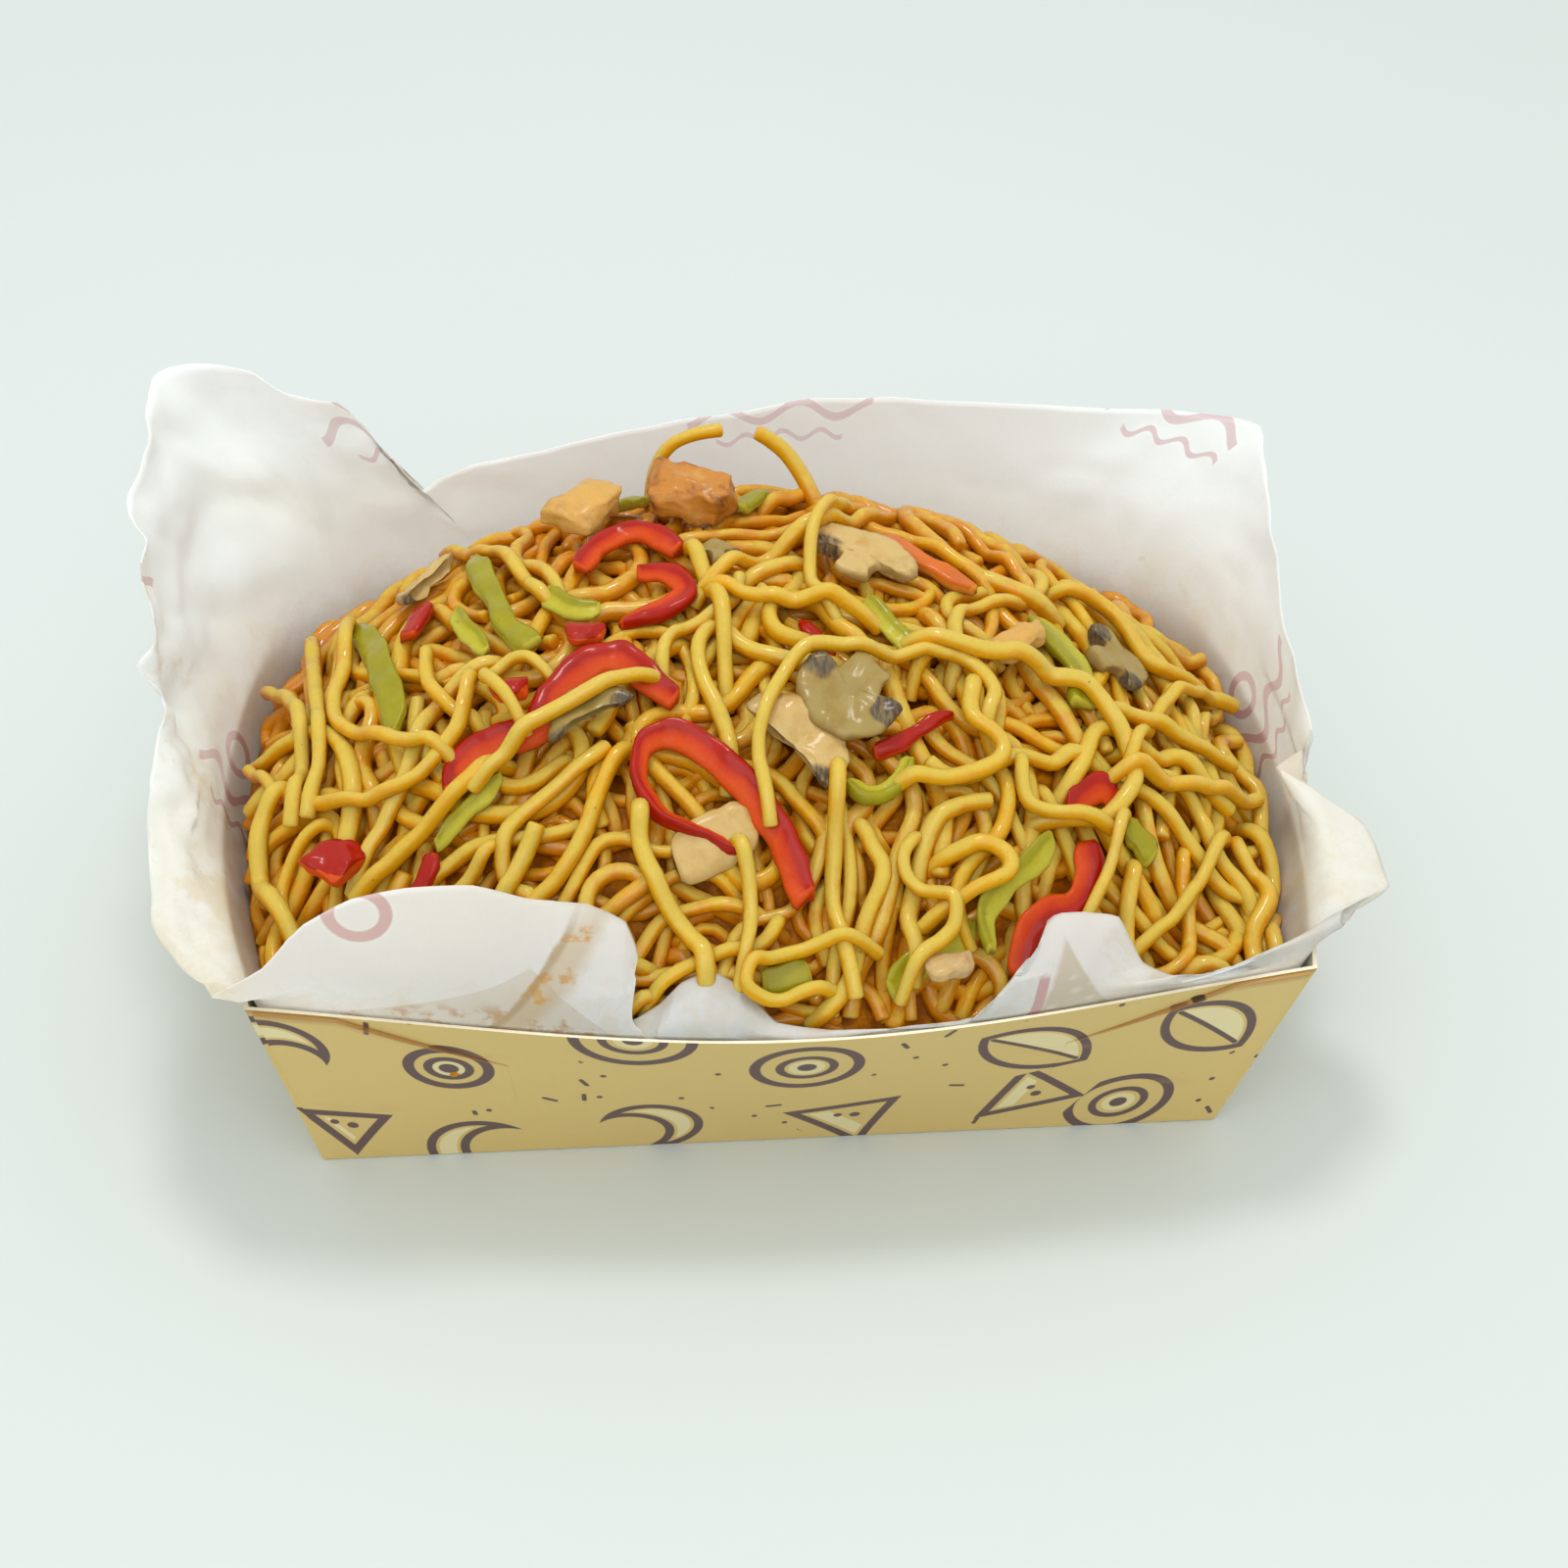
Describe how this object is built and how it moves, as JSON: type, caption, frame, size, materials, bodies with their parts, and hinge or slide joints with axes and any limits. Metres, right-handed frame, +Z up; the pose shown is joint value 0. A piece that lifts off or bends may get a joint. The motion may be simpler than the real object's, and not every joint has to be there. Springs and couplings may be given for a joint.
{
  "type": "noodle takeaway box",
  "caption": "Flared card takeaway tray with a crumpled paper liner, heaped with fried noodles, pepper strips, mushroom slices and fried chunks.",
  "frame": {"origin": "middle of the underside of the card tray", "axes": "+X along the tray's long side, front towards -Y, +Z up"},
  "size_m": [0.2102, 0.132, 0.0921],
  "materials": {
    "card": "matt kraft card with a printed pattern",
    "paper": "thin greaseproof paper with oil stains",
    "noodle": "oily semi-gloss",
    "red_pepper": "glossy skin",
    "orange_pepper": "semi-gloss",
    "green_pepper": "glossy skin",
    "mushroom": "soft satin",
    "dark_mushroom": "satin",
    "fried_chunk": "satin",
    "brown_chunk": "satin",
    "onion": "semi-gloss"
  },
  "bodies": {
    "root": {"card_tray": "card", "chunk_crest": "brown_chunk", "chunk_left": "fried_chunk", "chunk_right": "fried_chunk", "mushroom_back": "mushroom", "mushroom_cream": "mushroom", "mushroom_crest": "dark_mushroom", "mushroom_dark": "dark_mushroom", "mushroom_grey": "dark_mushroom", "mushroom_left": "mushroom", "mushroom_right": "dark_mushroom", "mushroom_under_loop": "mushroom", "noodles": "noodle", "onion_front": "onion", "paper_liner": "paper", "pepper_green_back": "green_pepper", "pepper_green_bar": "green_pepper", "pepper_green_crest": "green_pepper", "pepper_green_curl": "green_pepper", "pepper_green_end": "green_pepper", "pepper_green_fork": "green_pepper", "pepper_green_front": "green_pepper", "pepper_green_left": "green_pepper", "pepper_green_low": "green_pepper", "pepper_green_slant": "green_pepper", "pepper_green_sunk": "green_pepper", "pepper_green_tall": "green_pepper", "pepper_green_top": "green_pepper", "pepper_green_wide": "green_pepper", "pepper_orange_back": "orange_pepper", "pepper_red_arch": "red_pepper", "pepper_red_bow": "red_pepper", "pepper_red_corner": "red_pepper", "pepper_red_curl": "red_pepper", "pepper_red_hook": "red_pepper", "pepper_red_loop": "red_pepper", "pepper_red_nugget": "red_pepper", "pepper_red_right": "red_pepper", "pepper_red_shred": "red_pepper", "pepper_red_sliver": "red_pepper", "pepper_red_stub": "red_pepper", "pepper_red_tucked": "red_pepper", "pepper_red_wave": "red_pepper"}
  },
  "joints": []
}
